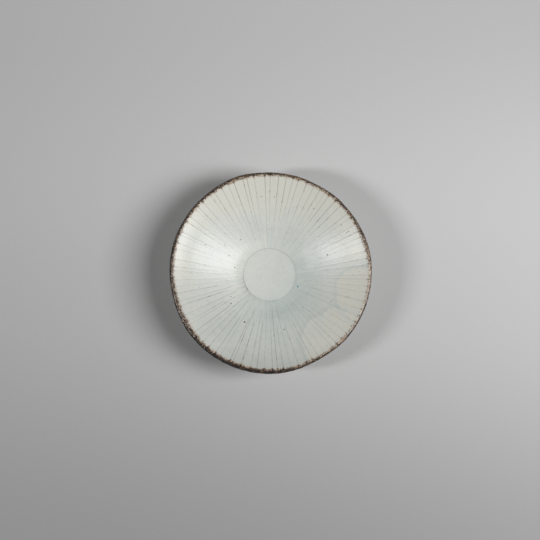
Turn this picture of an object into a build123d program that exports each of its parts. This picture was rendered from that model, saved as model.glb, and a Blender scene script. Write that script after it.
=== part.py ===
from build123d import *

import os
from math import asin, cos, hypot, sin, sqrt

# A small footed soy sauce dish of glazed stoneware, in millimetres.
# +Z is up, and the origin is the centre of the foot ring on the table.
# A thrown clay bowl carries a luted foot ring. Coats of glaze cover the inside, the outside and
# the recess under the base. Iron covers the lip and lies in the fine lines cut into the well.

# Bowl
rim_diameter = 100.0  # across the glazed lip
overall_height = 25.0  # table to the top of the glazed lip
well_depth = 14.5  # lip to the lowest point of the well's curve, which the disc covers
floor_thickness = 4.8  # clay on the axis, between the bowl's two curves
lip_thickness = 1.4  # clay at the lip, which ends in a full round
glaze_thickness = 0.5  # every coat of glaze, and the iron on the lip

# Plain disc in the middle of the well, which follows its curve
disc_diameter = 26.0
disc_rise = 0.15  # above the glaze beside it

# Foot ring
foot_diameter = 40.0  # outside, just above the bevel
foot_width = 4.0  # wall of the ring, just above the bevel
foot_flare = 0.8  # each side spreads by this much up to the bowl
foot_bevel = 0.6  # edges that meet the table
bare_band = 2.0  # clay left bare between the foot and the outer glaze
recess_margin = 1.2  # clay left bare between the foot and the recess glaze

# Lines cut into the glaze of the well, and the iron that lies in them
line_count = 84
line_width = 0.4
line_depth = 0.25
line_fill = 0.15  # thickness of the iron
line_unevenness = 0.6  # share of the even spacing by which a line may wander
long_line_gap = 1.6  # from the disc to the lines that run all the way in
short_line_gap = 9.0  # from the disc to the lines between them
lip_gap = 0.3  # glaze left between a line and the iron on the lip
ring_width = 0.4  # line around the disc

# The bowl is three arcs in section: the well, the lip and the underside. The well and the
# underside are centred on the axis and are tangent to the lip.
rim_radius = rim_diameter / 2
lip_radius = lip_thickness / 2
coated_lip_radius = lip_radius + glaze_thickness
lip_r = rim_radius - coated_lip_radius
lip_z = overall_height - coated_lip_radius
lip_reach = hypot(lip_r, lip_z)

well_bottom = overall_height - well_depth - glaze_thickness
well_z = (lip_reach**2 - (lip_radius - well_bottom) ** 2) / (2 * (lip_z + lip_radius - well_bottom))
well_radius = well_z - well_bottom
well_end = asin(lip_r / (well_radius + lip_radius))
glazed_well_radius = well_radius - glaze_thickness

base_bottom = well_bottom - floor_thickness
base_z = (lip_reach**2 - (base_bottom + lip_radius) ** 2) / (2 * (lip_z - base_bottom - lip_radius))
base_radius = base_z - base_bottom
base_end = asin(lip_r / (base_radius - lip_radius))
glazed_base_radius = base_radius + glaze_thickness

disc_radius = disc_diameter / 2
clay_disc_radius = disc_radius - glaze_thickness
disc_curve = well_radius - disc_rise
glazed_disc_curve = glazed_well_radius - disc_rise
ring_outer_radius = disc_radius + ring_width
ring_floor = well_z - sqrt(glazed_well_radius**2 - disc_radius**2) - line_depth

foot_outer_radius = foot_diameter / 2
foot_inner_radius = foot_outer_radius - foot_width
foot_outer_joint = foot_outer_radius + foot_flare
foot_inner_joint = foot_inner_radius - foot_flare


def at(r, z):
    """Point at radius r and height z in the section plane."""
    return Vector(r, 0, z)


def on_arc(centre_z, radius, angle):
    """Point on an arc centred on the axis, where the angle is counted from straight down."""
    return at(radius * sin(angle), centre_z - radius * cos(angle))


def bowl_arc(centre_z, radius, start, end):
    """Arc centred on the axis, between two angles counted from straight down."""
    middle = on_arc(centre_z, radius, (start + end) / 2)
    return Edge.make_three_point_arc(
        on_arc(centre_z, radius, start), middle, on_arc(centre_z, radius, end)
    )


def lip_arc(radius):
    """Arc around the lip, from the well's tangent point over the top to the underside's."""
    lip_centre = at(lip_r, lip_z)
    to_well = (at(0, well_z) - lip_centre).normalized()
    outwards = at(to_well.Z, -to_well.X)
    to_underside = (lip_centre - at(0, base_z)).normalized()
    return Edge.make_three_point_arc(
        lip_centre + to_well * radius,
        lip_centre + outwards * radius,
        lip_centre + to_underside * radius,
    )


def closed_section(*edges):
    """Face of the edges, which follow one another, with straight lines across their gaps."""
    outline = []
    for edge, following in zip(edges, edges[1:] + edges[:1]):
        outline.append(edge)
        gap_start, gap_end = edge @ 1, following @ 0
        if (gap_end - gap_start).length > 1e-9:
            outline.append(Edge.make_line(gap_start, gap_end))
    return Face(Wire(outline))


def turned(*edges):
    """Solid of revolution of a closed section about the dish's axis."""
    return revolve(closed_section(*edges), Axis.Z)


def line(*points):
    """Straight edges through points of the section plane."""
    return [Edge.make_line(a, b) for a, b in zip(points, points[1:])]


def clay_well():
    """Arcs of the clay that carries the inner glaze: the disc, then the well around it."""
    return [
        bowl_arc(well_z, disc_curve, 0, asin(clay_disc_radius / disc_curve)),
        bowl_arc(well_z, well_radius, asin(clay_disc_radius / well_radius), well_end),
    ]


def clay_body():
    """Thrown bowl: the well with its disc, the round lip and the underside."""
    return turned(
        *clay_well(),
        lip_arc(lip_radius),
        bowl_arc(base_z, base_radius, base_end, 0),
    )


def foot_ring():
    """Bare ring under the bowl, whose top follows the underside."""
    return turned(
        *line(
            at(foot_inner_radius, foot_bevel),
            at(foot_inner_radius + foot_bevel, 0),
            at(foot_outer_radius - foot_bevel, 0),
            at(foot_outer_radius, foot_bevel),
        ),
        bowl_arc(
            base_z,
            base_radius,
            asin(foot_outer_joint / base_radius),
            asin(foot_inner_joint / base_radius),
        ),
    )


def inner_glaze():
    """Coat over the well and its disc, with the grooves of the ring and the lines."""
    coat = turned(
        *clay_well(),
        bowl_arc(well_z, glazed_well_radius, well_end, asin(ring_outer_radius / glazed_well_radius)),
        *line(at(ring_outer_radius, ring_floor), at(disc_radius, ring_floor)),
        bowl_arc(well_z, glazed_disc_curve, asin(disc_radius / glazed_disc_curve), 0),
    )
    groove_top = glazed_well_radius - line_depth
    return coat - radial_lines(groove_top)


def outer_glaze():
    """Coat over the outside, from the lip down to the bare clay above the foot."""
    glaze_line = asin((foot_outer_joint + bare_band) / base_radius)
    return turned(
        bowl_arc(base_z, base_radius, base_end, glaze_line),
        bowl_arc(base_z, glazed_base_radius, glaze_line, base_end),
    )


def foot_well_glaze():
    """Coat over the underside within the foot ring."""
    edge = asin((foot_inner_joint - recess_margin) / base_radius)
    return turned(
        bowl_arc(base_z, base_radius, 0, edge),
        bowl_arc(base_z, glazed_base_radius, edge, 0),
    )


def iron_rim():
    """Coat of iron over the lip, between the two glazes."""
    clay_side = lip_arc(lip_radius)
    outside = lip_arc(coated_lip_radius)
    return turned(clay_side, outside.reversed())


def centre_ring():
    """Ring of iron in the groove around the disc."""
    return turned(
        *line(at(disc_radius, ring_floor), at(ring_outer_radius, ring_floor)),
        *line(
            at(ring_outer_radius, ring_floor + line_fill),
            at(disc_radius, ring_floor + line_fill),
        ),
    )


def line_angle(index):
    """Direction of a line in degrees: an even spacing, unevenly kept as a hand keeps it."""
    golden_ratio = (sqrt(5) - 1) / 2
    wander = (index * index * golden_ratio) % 1 - 0.5
    return 360 / line_count * (index + line_unevenness * wander)


def radial_lines(top_radius):
    """Bars that lie on the floor of the cut lines and reach up to an arc of that radius."""
    floor_radius = glazed_well_radius + line_depth
    line_end = well_end - lip_gap / glazed_well_radius
    bars = []
    for index in range(line_count):
        disc_gap = long_line_gap if index % 2 == 0 else short_line_gap
        line_start = asin((disc_radius + disc_gap) / glazed_well_radius)
        side = closed_section(
            bowl_arc(well_z, floor_radius, line_start, line_end),
            bowl_arc(well_z, top_radius, line_end, line_start),
        )
        bar = extrude(side, amount=line_width / 2, both=True)
        bars.append(Rot(Z=line_angle(index)) * bar)
    return bars


def iron_lines():
    """Iron in the cut lines, one strip in each."""
    strip_top = glazed_well_radius + line_depth - line_fill
    return Compound([bar.solid() for bar in radial_lines(strip_top)])


pieces = {
    "clay_body": clay_body(),
    "foot_ring": foot_ring(),
    "inner_glaze": inner_glaze(),
    "outer_glaze": outer_glaze(),
    "foot_well_glaze": foot_well_glaze(),
    "iron_rim": iron_rim(),
    "centre_ring": centre_ring(),
    "iron_lines": iron_lines(),
}

os.makedirs("parts", exist_ok=True)
for name, piece in pieces.items():
    export_step(piece, os.path.join("parts", name + ".step"))
    print(f"{name}: {len(piece.solids())} solids, {piece.volume:.1f} mm3")
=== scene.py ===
"""Small footed soy sauce dish of glazed stoneware, dressed for the camera.

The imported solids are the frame. Each piece here but the flecks stands for one of them with a finer mesh
of about the same size. Meshes are built in millimetres about the dish's axis and turned into metres when
they are done. Lengths are in millimetres unless something else is said. Angles are in degrees, counted
from +X towards +Y, and turns are in radians.
"""

import logging
from abc import ABC, abstractmethod
from dataclasses import dataclass
from enum import Enum
from math import asin, atan2, cos, degrees, exp, hypot, pi, radians, sin, sqrt, tau
from typing import Any, ClassVar, Sequence

import bmesh
import bpy
from mathutils import Matrix, Vector, noise


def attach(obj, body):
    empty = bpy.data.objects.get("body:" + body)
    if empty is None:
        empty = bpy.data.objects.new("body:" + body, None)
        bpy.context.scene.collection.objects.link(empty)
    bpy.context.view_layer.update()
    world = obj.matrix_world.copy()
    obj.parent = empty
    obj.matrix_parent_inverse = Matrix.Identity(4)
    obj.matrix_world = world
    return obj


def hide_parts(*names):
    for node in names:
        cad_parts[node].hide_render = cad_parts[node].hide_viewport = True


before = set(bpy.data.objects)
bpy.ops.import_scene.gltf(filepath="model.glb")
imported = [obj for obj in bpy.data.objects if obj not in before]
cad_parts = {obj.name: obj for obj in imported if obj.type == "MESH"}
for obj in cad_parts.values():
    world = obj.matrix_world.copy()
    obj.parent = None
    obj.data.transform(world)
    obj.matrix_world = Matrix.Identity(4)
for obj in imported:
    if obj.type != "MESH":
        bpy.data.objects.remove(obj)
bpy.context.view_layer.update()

MM = 0.001
MERGE = 1e-4  # millimetres within which two points are one
ON_AXIS = 1e-3  # millimetres within which a point counts as on the axis
BODY = "root"
SOFT = {"interpolation_type": "SMOOTHSTEP"}

log = logging.getLogger("soy_sauce_dish")

Point = tuple[float, float]
Colour = tuple[float, float, float, float]
Mesh = bmesh.types.BMesh
Material = bpy.types.Material
Tree = bpy.types.NodeTree
Node = bpy.types.Node
Socket = bpy.types.NodeSocket


class LineReach(Enum):
    """Gap in millimetres that a cut line leaves to the disc."""

    LONG = 1.6
    SHORT = 9.0


class Draw(Enum):
    """What a draw for a cut line decides."""

    START = 1
    WIDTH = 2
    TOOTH = 3
    STRENGTH = 4


class Fleck(Enum):
    """What a fleck in the glaze is."""

    IRON = "iron"
    COBALT = "cobalt"


class GlazeSide(Enum):
    """Direction that the glaze changes along."""

    POOL = -38.0
    DOWN = -90.0
    LEFT = 215.0


def clamp(value: float) -> float:
    """Keeps a share between 0 and 1."""
    return min(1.0, max(0.0, value))


def ease(start: float, end: float, value: float) -> float:
    """Share from 0 at start to 1 at end, above or below it, with a soft beginning and end."""
    share = clamp((value - start) / (end - start))
    return share * share * (3 - 2 * share)


def swell(angle: float, middle: float, width: float) -> float:
    """Height at an angle of a bell that is 1 in its middle, and about a third at its width from it."""
    away = (angle - middle + 180) % 360 - 180
    return exp(-((away / width) ** 2))


def evenly(start: float, end: float, steps: int) -> list[float]:
    """Values from start to end, both of them included, in even steps."""
    return [start + (end - start) * step / steps for step in range(steps + 1)]


def chance(index: int, draw: Draw) -> float:
    """Repeatable share from 0 to 1, which differs from line to line and from draw to draw.

    Args:
        index: Number of the line.
        draw: What the draw decides.

    Returns:
        The share.
    """
    line_step = 12.9898
    draw_step = 78.233
    spread = 43758.5453
    return (sin(index * line_step + draw.value * draw_step) * spread) % 1.0


def drift(x: float, y: float, z: float) -> float:
    """Smooth noise from -1 to 1 that repeats on every run."""
    return noise.noise(Vector((x, y, z)))


def linear(hex_colour: str) -> Colour:
    """Turns an sRGB hex colour into the linear colour that shaders take.

    Args:
        hex_colour: Six hex digits after a hash sign.

    Returns:
        Red, green, blue and full alpha.
    """
    channels = []
    for start in (1, 3, 5):
        value = int(hex_colour[start : start + 2], 16) / 255
        channels.append(value / 12.92 if value <= 0.04045 else ((value + 0.055) / 1.055) ** 2.4)
    return (channels[0], channels[1], channels[2], 1.0)


def add_node(
    tree: Tree,
    kind: str,
    settings: dict[str | int, Any] | None = None,
    links: dict[str | int, Node | Socket] | None = None,
) -> Node:
    """Adds one node to a node tree.

    Args:
        tree: Node tree of a material or of the world.
        kind: Blender's name of the node type, without "ShaderNode".
        settings: Properties by name, and socket values by name or number.
        links: Nodes, whose first output is meant, or sockets, by the input that they feed.

    Returns:
        The new node.
    """
    node = tree.nodes.new("ShaderNode" + kind)
    for name, value in (settings or {}).items():
        if isinstance(name, str) and name not in node.inputs:
            setattr(node, name, value)
        else:
            node.inputs[name].default_value = value
    for name, source in (links or {}).items():
        socket = source.outputs[0] if isinstance(source, Node) else source
        tree.links.new(socket, node.inputs[name])
    return node


def sloped(
    tree: Tree, level: Node, operation: str, source: Socket, ends: Point, heights: Point
) -> Node:
    """Adds a soft slope to a level, or multiplies the level by one.

    Args:
        tree: Node tree of the material.
        level: Node that gives the level so far.
        operation: "ADD" or "MULTIPLY".
        source: Socket that gives the place along the slope.
        ends: Where the slope starts and where it ends.
        heights: What it gives before its start and past its end.

    Returns:
        Node that gives the new level.
    """
    reach = {"From Min": ends[0], "From Max": ends[1], "To Min": heights[0], "To Max": heights[1]}
    slope = add_node(tree, "MapRange", {**SOFT, **reach}, {"Value": source})
    return add_node(tree, "Math", {"operation": operation}, {0: level, 1: slope})


def new_material(name: str) -> tuple[Material, Tree, Node, Node]:
    """Starts a material.

    Args:
        name: Name of the material.

    Returns:
        The material, its node tree, the node that gives the place in millimetres, and the shader.
    """
    material = bpy.data.materials.new(name)
    material.use_nodes = True
    tree = material.node_tree
    tree.nodes.clear()
    coordinates = add_node(tree, "TexCoord").outputs["Object"]
    place = add_node(tree, "VectorMath", {"operation": "SCALE", "Scale": 1 / MM}, {0: coordinates})
    shader = add_node(tree, "BsdfPrincipled", {"IOR": 1.45})
    add_node(tree, "OutputMaterial", {}, {"Surface": shader})
    return material, tree, place, shader


@dataclass(frozen=True)
class DishSection:
    """Section of the dish in millimetres: a well, a round lip and an underside, all arcs."""

    rim_radius: float = 50.0
    height: float = 25.0
    well_depth: float = 14.5
    floor: float = 4.8
    lip: float = 1.4
    coat: float = 0.5
    disc_radius: float = 13.0
    disc_rise: float = 0.15
    foot_radius: float = 20.0
    foot_wall: float = 4.0
    foot_flare: float = 0.8
    foot_bevel: float = 0.6
    bare_band: float = 2.0
    recess_margin: float = 1.2
    ring_width: float = 0.4

    @property
    def lip_radius(self) -> float:
        """Radius of the clay's round lip."""
        return self.lip / 2

    @property
    def coated_lip(self) -> float:
        """Radius of the lip with its coat."""
        return self.lip_radius + self.coat

    @property
    def lip_r(self) -> float:
        """Distance of the lip's centre from the axis."""
        return self.rim_radius - self.coated_lip

    @property
    def lip_z(self) -> float:
        """Height of the lip's centre."""
        return self.height - self.coated_lip

    @property
    def well_bottom(self) -> float:
        """Height of the clay at the lowest point of the well's arc."""
        return self.height - self.well_depth - self.coat

    @property
    def well_z(self) -> float:
        """Height of the centre of the well's arc."""
        reach = self.lip_r**2 + self.lip_z**2
        rise = self.lip_radius - self.well_bottom
        return (reach - rise**2) / (2 * (self.lip_z + rise))

    @property
    def well_curve(self) -> float:
        """Radius of the clay's arc under the well's glaze."""
        return self.well_z - self.well_bottom

    @property
    def glaze_curve(self) -> float:
        """Radius of the glazed well's arc."""
        return self.well_curve - self.coat

    @property
    def well_end(self) -> float:
        """Turn from straight down, in radians, at which the well's arc meets the lip."""
        return asin(self.lip_r / (self.well_curve + self.lip_radius))

    @property
    def base_z(self) -> float:
        """Height of the centre of the underside's arc."""
        reach = self.lip_r**2 + self.lip_z**2
        rise = self.well_bottom - self.floor + self.lip_radius
        return (reach - rise**2) / (2 * (self.lip_z - rise))

    @property
    def base_curve(self) -> float:
        """Radius of the underside's clay arc."""
        return self.base_z - self.well_bottom + self.floor

    @property
    def base_end(self) -> float:
        """Turn from straight down, in radians, at which the underside's arc meets the lip."""
        return asin(self.lip_r / (self.base_curve - self.lip_radius))

    @property
    def lip_start(self) -> float:
        """Turn about the lip's centre, in radians from outwards, at which the lip meets the well."""
        return pi / 2 + self.well_end

    @property
    def lip_end(self) -> float:
        """Turn about the lip's centre at which the lip meets the underside."""
        return self.base_end - pi / 2

    @property
    def lip_join(self) -> float:
        """Distance from the axis at which the glazed well meets the iron on the lip."""
        return self.glaze_curve * sin(self.well_end)

    @property
    def clay_disc(self) -> float:
        """Radius of the clay disc under the glazed one."""
        return self.disc_radius - self.coat

    @property
    def clay_disc_curve(self) -> float:
        """Radius of the clay disc's arc."""
        return self.well_curve - self.disc_rise

    def well(self, r: float, sunk: float = 0.0) -> float:
        """Height at a distance from the axis of the glazed well, or of an arc sunk into it."""
        return self.well_z - sqrt((self.glaze_curve + sunk) ** 2 - r**2)

    def on_arc(self, centre_z: float, curve: float, turn: float) -> Point:
        """Distance from the axis and height on an arc about it, at a turn from straight down."""
        return (curve * sin(turn), centre_z - curve * cos(turn))

    def arc(self, centre_z: float, curve: float, start: float, end: float, chords: int) -> list[Point]:
        """Points of an arc about the axis, between two turns from straight down, in radians."""
        return [self.on_arc(centre_z, curve, turn) for turn in evenly(start, end, chords)]

    def lip_arc(self, curve: float, chords: int) -> list[Point]:
        """Points over the lip, from the well's side to the underside's, round the lip's centre."""
        turns = evenly(self.lip_start, self.lip_end, chords)
        return [(self.lip_r + curve * cos(turn), self.lip_z + curve * sin(turn)) for turn in turns]


@dataclass(frozen=True)
class RimWave:
    """A slow wave round the rim that the potter's hand leaves."""

    count: int
    size: float
    peak: float

    def at(self, angle: float) -> float:
        """Size of the wave, in millimetres, at an angle."""
        return self.size * cos(radians(self.count * (angle - self.peak)))


@dataclass(frozen=True)
class RimSwell:
    """A stretch of a ring that differs from the rest."""

    peak: float
    width: float
    size: float

    def at(self, angle: float) -> float:
        """Size of the difference, in millimetres or as a share, at an angle."""
        return self.size * swell(angle, self.peak, self.width)


@dataclass(frozen=True)
class RimWander:
    """Smooth noise round the dish with no seam: its size, its features in a turn, and its layer."""

    size: float
    features: float
    layer: float

    def at(self, angle: float) -> float:
        """Size of the noise, in millimetres or as a share, at an angle."""
        reach = self.features / tau
        return self.size * drift(reach * cos(radians(angle)), reach * sin(radians(angle)), self.layer)


@dataclass(frozen=True)
class ProfileSwell:
    """A stretch of a profile that stands higher than the rest, or lower if its size is negative."""

    place: float
    inner: float
    outer: float
    size: float

    def at(self, along: float) -> float:
        """Rise in millimetres at a place along the profile."""
        past = along - self.place
        return self.size * exp(-((past / (self.inner if past < 0 else self.outer)) ** 2))


def total_at(parts: Sequence[RimWave | RimSwell | RimWander], angle: float) -> float:
    """Sum of what the parts give at an angle."""
    return sum(part.at(angle) for part in parts)


@dataclass(frozen=True)
class HandShape:
    """The slight unevenness of a hand-made dish, which all its pieces share."""

    round_radius: float = 22.0
    rim_radius: float = DishSection.rim_radius
    well_floor: float = 9.6
    floor_blend: float = 3.0
    outward: tuple[RimWave | RimSwell, ...] = (
        RimWave(count=3, size=0.33, peak=5.0),
        RimWave(count=7, size=0.11, peak=15.0),
        RimSwell(peak=109.0, width=9.0, size=0.25),
        RimSwell(peak=127.0, width=14.0, size=-0.3),
        RimSwell(peak=62.0, width=8.0, size=-0.2),
        RimSwell(peak=48.0, width=8.0, size=0.2),
        RimSwell(peak=300.0, width=10.0, size=-0.26),
    )
    upward: tuple[RimWave, ...] = (
        RimWave(count=2, size=0.18, peak=40.0),
        RimWave(count=5, size=0.07, peak=100.0),
    )
    ripple: float = 0.05
    ripple_length: float = 11.0
    wall_rise: ProfileSwell = ProfileSwell(place=40.0, inner=16.0, outer=9.0, size=0.95)
    lip_rise: ProfileSwell = ProfileSwell(place=44.5, inner=4.0, outer=3.5, size=0.3)
    lip_rise_side: RimSwell = RimSwell(peak=165.0, width=30.0, size=1.0)
    disc_dip: ProfileSwell = ProfileSwell(place=17.5, inner=4.0, outer=4.0, size=-0.3)
    foot_reach: float = 22.0
    wall_reach: float = 30.0
    disc_aside: float = 0.1
    disc_reach: float = 13.5
    disc_blend: float = 26.0

    def shape(self, bm: Mesh) -> None:
        """Moves every vertex of a piece as the hand has moved the whole dish.

        The disc sits a little to one side, with a slight dip round it. The wall stands a little steeper
        than an arc and then turns out towards the lip, on one side more than elsewhere.

        Args:
            bm: Mesh in millimetres, true to the section.
        """
        for vert in bm.verts:
            x, y, z = vert.co
            r = hypot(x, y)
            angle = degrees(atan2(y, x))
            share = clamp((r - self.round_radius) / (self.rim_radius - self.round_radius)) ** 2
            out = 1 + share * total_at(self.outward, angle) / max(r, self.round_radius)
            lift = total_at(self.upward, angle)
            lift += self.ripple * drift(x / self.ripple_length, y / self.ripple_length, 0.0)
            in_well = ease(self.well_floor - self.floor_blend, self.well_floor, z)
            aside = self.disc_aside * in_well * ease(self.disc_blend, self.disc_reach, r)
            rise = self.wall_rise.at(r) * max(in_well, ease(self.foot_reach, self.wall_reach, r))
            rise += self.lip_rise.at(r) * self.lip_rise_side.at(angle) + self.disc_dip.at(r) * in_well
            vert.co = (x * out + aside, y * out, z + share * lift + rise)


@dataclass(frozen=True)
class LinePattern:
    """The fine lines cut into the well, spaced as a hand spaces them, with beads of iron in them."""

    count: int = 84
    unevenness: float = 0.6
    start_spread: float = 3.0
    cut_before: float = 0.8
    cut_after: float = 2.0
    groove: float = 0.012
    half_width: float = 0.2
    width_least: float = 0.8
    width_spread: float = 0.4
    bead_length: float = 1.4
    bead_gain: float = 2.5
    bead_level: float = 0.6
    bead_step: float = 3.7
    bead_layer: float = 0.5
    bead_swell: float = 0.35
    strength_least: float = 0.45
    strength_spread: float = 0.85
    fade_in: float = 3.0
    growth: Point = (23.0, 46.0)
    inner_ink: float = 0.12
    inner_sides: tuple[RimSwell, ...] = (
        RimSwell(peak=222.0, width=30.0, size=0.52),
        RimSwell(peak=275.0, width=22.0, size=0.26),
        RimSwell(peak=338.0, width=24.0, size=0.16),
    )
    outer_ink: float = 0.42
    outer_sides: tuple[RimSwell, ...] = (
        RimSwell(peak=62.0, width=55.0, size=0.12),
        RimSwell(peak=116.0, width=22.0, size=0.12),
        RimSwell(peak=195.0, width=18.0, size=-0.14),
        RimSwell(peak=314.0, width=36.0, size=-0.2),
    )

    def reach(self, index: int) -> LineReach:
        """Every second line runs all the way in."""
        return LineReach.LONG if index % 2 == 0 else LineReach.SHORT

    def angle(self, index: int) -> float:
        """Direction of a line, not brought into one turn.

        Args:
            index: Number of the line.

        Returns:
            The angle, which grows with the number.
        """
        golden_ratio = (sqrt(5) - 1) / 2
        place = index % self.count
        wander = (place * place * golden_ratio) % 1 - 0.5
        return 360 / self.count * (index + self.unevenness * wander)

    def start(self, index: int, section: DishSection) -> float:
        """Distance from the axis at which a line begins."""
        spread = self.start_spread * chance(index, Draw.START)
        return section.disc_radius + self.reach(index).value + spread

    def cut(self, index: int, r: float, section: DishSection) -> float:
        """Share of the groove's depth that a line has at a distance from the axis."""
        start = self.start(index, section)
        return ease(start - self.cut_before, start + self.cut_after, r)

    def bead(self, index: int, r: float) -> float:
        """Share of a bead of iron that lies in a line at a distance from the axis."""
        along = drift(r / self.bead_length, index * self.bead_step, self.bead_layer)
        return clamp(self.bead_gain * along - self.bead_level)

    def half(self, index: int, r: float) -> float:
        """Half the width of a line at a distance from the axis."""
        width = self.width_least + self.width_spread * chance(index, Draw.WIDTH)
        return self.half_width * width * (1 + self.bead_swell * self.bead(index, r))

    def ink(self, index: int, r: float, section: DishSection) -> float:
        """How dark a line is in its middle.

        Args:
            index: Number of the line.
            r: Distance from the axis.
            section: Section of the dish.

        Returns:
            A share from 0, as pale as the glaze, to 1.
        """
        start = self.start(index, section)
        heading = self.angle(index)
        inner = self.inner_ink + total_at(self.inner_sides, heading)
        outer = self.outer_ink + total_at(self.outer_sides, heading)
        grown = inner + (outer - inner) * ease(*self.growth, r)
        strength = self.strength_least + self.strength_spread * chance(index, Draw.STRENGTH)
        begun = ease(start, start + self.fade_in, r)
        return clamp(strength * grown * begun * (1 + self.bead(index, r)))


@dataclass(frozen=True)
class IronEdge:
    """How far the lip's iron reaches and how heavily it lies, round the rim."""

    lines: LinePattern = LinePattern()
    reach: float = 1.7
    outside_reach: float = 1.5
    ragged: tuple[RimWander, ...] = (
        RimWander(size=0.25, features=120, layer=2.0),
        RimWander(size=0.22, features=380, layer=5.0),
    )
    outside_ragged: float = 2.0
    fade: float = 0.95
    soft: RimSwell = RimSwell(peak=218.0, width=34.0, size=0.5)
    # Wider iron low on the rim, near 262°, is partly painted shade on the lip's outer side; narrower iron
    # near 343° is partly painted highlight where the key lamp glints.
    wide_and_painted_light: tuple[RimSwell, ...] = (
        RimSwell(peak=205.0, width=26.0, size=0.6),
        RimSwell(peak=262.0, width=24.0, size=0.3),
        RimSwell(peak=24.0, width=16.0, size=0.25),
        RimSwell(peak=110.0, width=14.0, size=0.3),
        RimSwell(peak=165.0, width=14.0, size=0.15),
        RimSwell(peak=343.0, width=21.0, size=-0.25),
        RimSwell(peak=305.0, width=12.0, size=-0.1),
    )
    weight: float = 0.74
    # Heavier iron near 246° is partly painted shade on the lip's outer side; lighter iron near 2° is
    # partly painted highlight where the key lamp glints.
    heavy_and_painted_light: tuple[RimSwell, ...] = (
        RimSwell(peak=246.0, width=34.0, size=0.32),
        RimSwell(peak=180.0, width=32.0, size=0.1),
        RimSwell(peak=2.0, width=15.0, size=-0.14),
        RimSwell(peak=60.0, width=22.0, size=-0.05),
    )
    outline: float = 0.1
    outline_width: float = 0.5
    # Thin iron where the lamps glint on the lip: partly real thin iron, partly a painted glint band.
    worn_and_glints: tuple[RimSwell, ...] = (
        RimSwell(peak=336.0, width=28.0, size=0.24),
        RimSwell(peak=178.0, width=10.0, size=0.08),
        RimSwell(peak=210.0, width=14.0, size=0.1),
    )
    worn_glint_place: float = 1.05
    worn_glint_width: float = 0.42
    tooth: float = 0.85
    tooth_width: float = 0.5

    def share(self, angle: float, inwards: float) -> float:
        """How much iron lies at a place by the lip.

        Args:
            angle: Direction of the place.
            inwards: Millimetres in from the outline, or below it on the outside if negative.

        Returns:
            A share from 0.
        """
        past_the_iron = 2 * (self.reach + self.tooth)
        if abs(inwards) > past_the_iron:
            return 0.0
        ragged = total_at(self.ragged, angle)
        if inwards < 0:
            reach = self.outside_reach + self.outside_ragged * ragged
        else:
            nearest = round(angle / 360 * self.lines.count)
            tooth = max(
                swell(angle, self.lines.angle(index), self.tooth_width)
                * chance(index % self.lines.count, Draw.TOOTH)
                for index in (nearest - 1, nearest, nearest + 1)
            )
            reach = self.reach + total_at(self.wide_and_painted_light, angle) + ragged + self.tooth * tooth
        weight = self.weight + total_at(self.heavy_and_painted_light, angle)
        fade = self.fade + self.soft.at(angle)
        laid = weight * ease(reach + fade, reach - fade, abs(inwards))
        line = self.outline * exp(-((inwards / self.outline_width) ** 2))
        # The pale band is partly thin iron and partly painted glints.
        worn_glint_band = exp(-(((inwards - self.worn_glint_place) / self.worn_glint_width) ** 2))
        return max(0.0, laid + line - worn_glint_band * total_at(self.worn_and_glints, angle))


def spun(profile: Sequence[Point], steps: int, closed: bool = False) -> Mesh:
    """Turns a profile about the dish's axis.

    Args:
        profile: Pairs of distance from the axis and height, in millimetres.
        steps: How many columns the turn has.
        closed: True for a section that doesn't touch the axis and closes on itself.

    Returns:
        A closed mesh whose faces point outwards.
    """
    bm = bmesh.new()
    verts = [bm.verts.new((r, 0.0, z)) for r, z in profile]
    pairs = list(zip(verts, verts[1:]))
    if closed:
        pairs.append((verts[-1], verts[0]))
    edges = [bm.edges.new(pair) for pair in pairs]
    bmesh.ops.spin(
        bm,
        geom=verts + edges,
        cent=(0.0, 0.0, 0.0),
        axis=(0.0, 0.0, 1.0),
        angle=tau,
        steps=steps,
        use_merge=True,
    )
    bmesh.ops.remove_doubles(bm, verts=bm.verts, dist=MERGE)
    bmesh.ops.recalc_face_normals(bm, faces=bm.faces)
    return bm


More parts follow.
